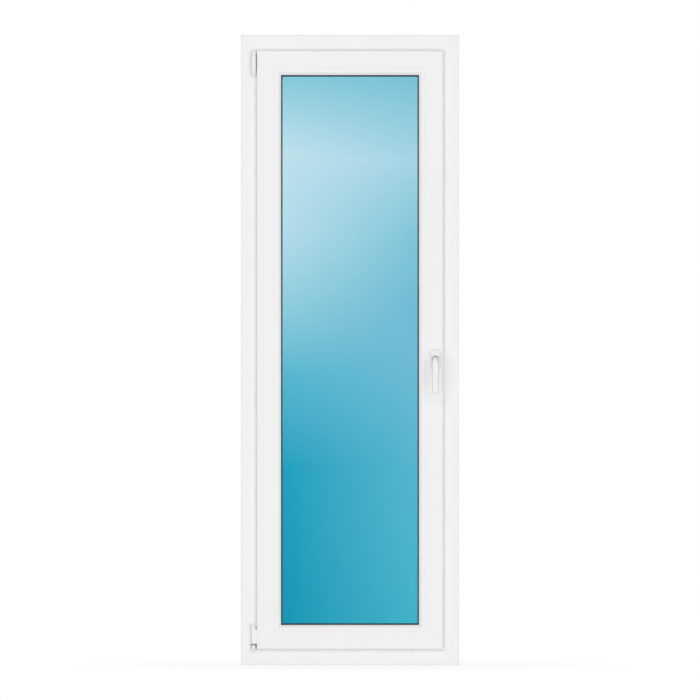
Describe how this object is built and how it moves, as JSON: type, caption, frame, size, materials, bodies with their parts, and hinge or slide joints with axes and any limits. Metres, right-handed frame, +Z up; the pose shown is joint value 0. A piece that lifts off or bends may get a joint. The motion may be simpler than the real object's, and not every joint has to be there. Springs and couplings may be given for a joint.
{
  "type": "casement window",
  "caption": "Tilt-and-turn casement window in white plastic: a tall sash with a sealed glass unit, hinged on the left of its frame, with lever handle and locking gear.",
  "frame": {"origin": "middle of the frame's bottom face, at half the frame profile's depth", "axes": "+X to the right as seen from the room, +Y from the room to the outdoors, +Z up"},
  "size_m": [0.68, 0.149, 1.965],
  "materials": {
    "white_pvc": "extruded white uPVC, satin gloss",
    "white_cover": "moulded white plastic, satin gloss",
    "white_paint": "white powder coat, fine texture",
    "rubber": "dark grey extruded rubber, matt",
    "zinc": "zinc-plated steel, silver passivated",
    "steel": "galvanised steel",
    "spacer": "black warm-edge spacer",
    "block": "blue moulded plastic, matt",
    "glass": "clear float glass with a sky-blue cast"
  },
  "bodies": {
    "frame": {"frame_hinge_jamb": "white_pvc", "frame_lock_jamb": "white_pvc", "frame_head": "white_pvc", "frame_sill": "white_pvc", "frame_seal": "rubber", "frame_steel_hinge_side": "steel", "frame_steel_lock_side": "steel", "drain_cap_hinge_side": "white_cover", "drain_cap_lock_side": "white_cover", "keep_lock_side_lower": "zinc", "keep_lock_side_middle": "zinc", "keep_lock_side_upper": "zinc", "keep_top": "zinc", "keep_bottom": "zinc", "keep_hinge_side": "zinc", "corner_bearing": "white_paint", "stay_bearing": "white_paint", "stay_pin": "white_paint"},
    "hinge_carrier": {"corner_pivot": "white_paint", "tilt_pin": "steel"},
    "sash": {"sash_hinge_stile": "white_pvc", "sash_lock_stile": "white_pvc", "sash_top_rail": "white_pvc", "sash_bottom_rail": "white_pvc", "sash_steel_hinge_side": "steel", "sash_steel_lock_side": "steel", "sash_seal": "rubber", "sash_seal_hinge_side": "rubber", "glass_pane_room": "glass", "glass_pane_outdoor": "glass", "glass_spacer": "spacer", "glazing_seal_room": "rubber", "glazing_seal_outdoor": "rubber", "glazing_bead_hinge_side": "white_pvc", "glazing_bead_lock_side": "white_pvc", "glazing_bead_top": "white_pvc", "glazing_bead_bottom": "white_pvc", "setting_block_hinge_side": "block", "setting_block_lock_side": "block", "corner_hinge": "zinc", "corner_hinge_cover": "white_cover", "face_plate_lock_side": "zinc", "face_plate_top": "zinc", "face_plate_bottom": "zinc", "face_plate_hinge_side": "zinc", "gearbox_case": "zinc", "handle_base": "zinc", "handle_rosette": "white_cover", "handle_screw_upper": "steel", "handle_screw_lower": "steel"},
    "handle": {"handle_lever": "white_paint", "handle_spindle": "steel", "drive_pinion": "steel"},
    "lock_side_rod": {"drive_rod_lock_side": "zinc"},
    "top_rod": {"drive_rod_top": "zinc"},
    "bottom_rod": {"drive_rod_bottom": "zinc"},
    "hinge_side_rod": {"drive_rod_hinge_side": "zinc"},
    "stay": {"stay_arm": "zinc", "stay_cover": "white_cover"}
  },
  "joints": [
    {"name": "sash_turn", "type": "hinge", "parent": "frame", "child": "hinge_carrier", "pos_m": [-0.301, -0.044, 0.0518], "axis": [0, 0, -1], "range_deg": [0, 90]},
    {"name": "sash_tilt", "type": "hinge", "parent": "hinge_carrier", "child": "sash", "pos_m": [-0.301, -0.044, 0.06], "axis": [1, 0, 0], "range_deg": [0, 5]},
    {"name": "handle_turn", "type": "hinge", "parent": "sash", "child": "handle", "pos_m": [0.266, -0.052, 0.953], "axis": [0, 1, 0], "range_deg": [0, 180]},
    {"name": "lock_side_rod_slide", "type": "slide", "parent": "sash", "child": "lock_side_rod", "axis": [0, 0, 1], "range_m": [0, 0.02357]},
    {"name": "top_rod_slide", "type": "slide", "parent": "sash", "child": "top_rod", "axis": [-1, 0, 0], "range_m": [0, 0.02357]},
    {"name": "bottom_rod_slide", "type": "slide", "parent": "sash", "child": "bottom_rod", "axis": [1, 0, 0], "range_m": [0, 0.02357]},
    {"name": "hinge_side_rod_slide", "type": "slide", "parent": "sash", "child": "hinge_side_rod", "axis": [0, 0, -1], "range_m": [0, 0.02357]},
    {"name": "stay_arm_swing", "type": "hinge", "parent": "hinge_carrier", "child": "stay", "pos_m": [-0.301, -0.044, 1.86], "axis": [0, 0, -1], "range_deg": [0, 24.7]}
  ],
  "couplings": [
    {"joint": "lock_side_rod_slide", "follows": "handle_turn", "m_per_rad": 0.0075},
    {"joint": "top_rod_slide", "follows": "handle_turn", "m_per_rad": 0.0075},
    {"joint": "bottom_rod_slide", "follows": "handle_turn", "m_per_rad": 0.0075},
    {"joint": "hinge_side_rod_slide", "follows": "handle_turn", "m_per_rad": 0.0075},
    {"joint": "stay_arm_swing", "follows": "sash_tilt", "ratio": 4.93}
  ]
}
